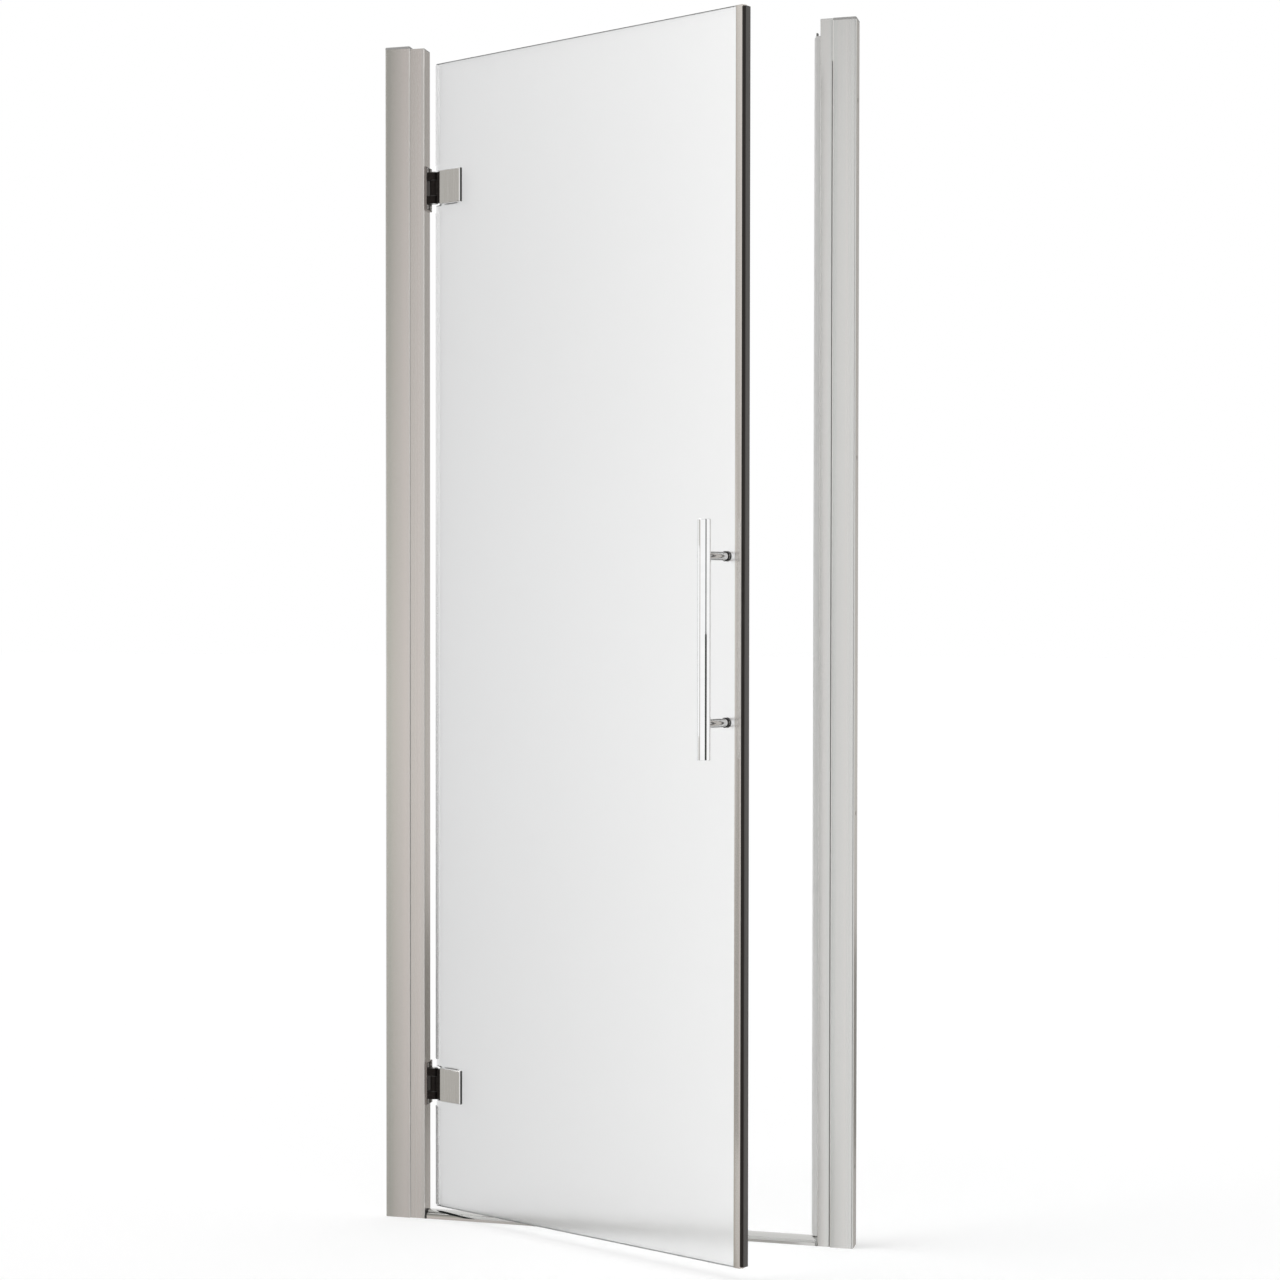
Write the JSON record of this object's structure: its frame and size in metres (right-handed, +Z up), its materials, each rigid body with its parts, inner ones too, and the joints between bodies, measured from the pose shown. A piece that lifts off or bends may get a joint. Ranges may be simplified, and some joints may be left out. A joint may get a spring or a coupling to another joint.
{
  "type": "hinged shower door",
  "caption": "Hinged glass shower door for an alcove: wall profiles, adjusting posts, low sill, chrome clamp hinges, magnetic edge seal and bar handle.",
  "frame": {"origin": "on the tray under the middle of the sill: middle of the overall width, middle of the profiles' depth", "axes": "+X along the opening from the hinge side to the strike side, +Y into the shower, +Z up"},
  "size_m": [0.764, 0.3289, 1.9],
  "materials": {
    "aluminium_profile": "bright anodised, warm silver",
    "aluminium_sill": "polished",
    "aluminium_trim": "polished",
    "chrome": "mirror chrome plate",
    "steel": "stainless",
    "glass": "clear toughened glass, ground edges",
    "clear_seal": "clear flexible PVC",
    "grey_seal": "grey flexible PVC",
    "dark_seal": "dark flexible PVC, satin",
    "magnet": "flexible ferrite strip",
    "grey_cap": "moulded, satin",
    "black_plastic": "moulded, satin",
    "black_rubber": "soft pad",
    "nylon": "natural nylon"
  },
  "bodies": {
    "frame": {"wall_profile_left": "aluminium_profile", "wall_profile_right": "aluminium_profile", "hinge_post": "aluminium_profile", "strike_post": "aluminium_profile", "wall_cap_left": "grey_cap", "hinge_post_cap": "grey_cap", "post_cap_right": "grey_cap", "lock_screws_left": "steel", "lock_screws_right": "steel", "screw_covers_left": "grey_cap", "screw_covers_right": "grey_cap", "sill_bar": "aluminium_sill", "sill_end_cap_left": "black_plastic", "sill_end_cap_right": "black_plastic", "strike_seal": "grey_seal", "strike_magnet": "magnet", "upper_hinge_leaf": "chrome", "upper_hinge_leaf_screws": "steel", "upper_hinge_nut_plate": "steel", "upper_hinge_pin": "steel", "lower_hinge_leaf": "chrome", "lower_hinge_leaf_screws": "steel", "lower_hinge_nut_plate": "steel", "lower_hinge_pin": "steel"},
    "door": {"glass_panel": "glass", "edge_trim": "aluminium_trim", "door_seal": "dark_seal", "door_magnet": "magnet", "hinge_edge_seals": "clear_seal", "drip_seal": "clear_seal", "handle_bar": "chrome", "handle_standoffs": "chrome", "handle_washers_outer": "black_rubber", "handle_washers_inner": "black_rubber", "handle_studs": "steel", "handle_cap_nuts": "chrome", "handle_glass_sleeves": "nylon", "upper_hinge_bushes": "black_plastic", "upper_hinge_clamp_front": "chrome", "upper_hinge_clamp_back": "chrome", "upper_hinge_clamp_screws": "steel", "upper_hinge_gaskets": "black_rubber", "upper_hinge_glass_sleeves": "nylon", "lower_hinge_bushes": "black_plastic", "lower_hinge_clamp_front": "chrome", "lower_hinge_clamp_back": "chrome", "lower_hinge_clamp_screws": "steel", "lower_hinge_gaskets": "black_rubber", "lower_hinge_glass_sleeves": "nylon"}
  },
  "joints": [
    {"name": "door_swing", "type": "hinge", "parent": "frame", "child": "door", "pos_m": [-0.302, -0.007, 0.9455], "axis": [0, 0, -1], "range_deg": [-25, 65]}
  ]
}
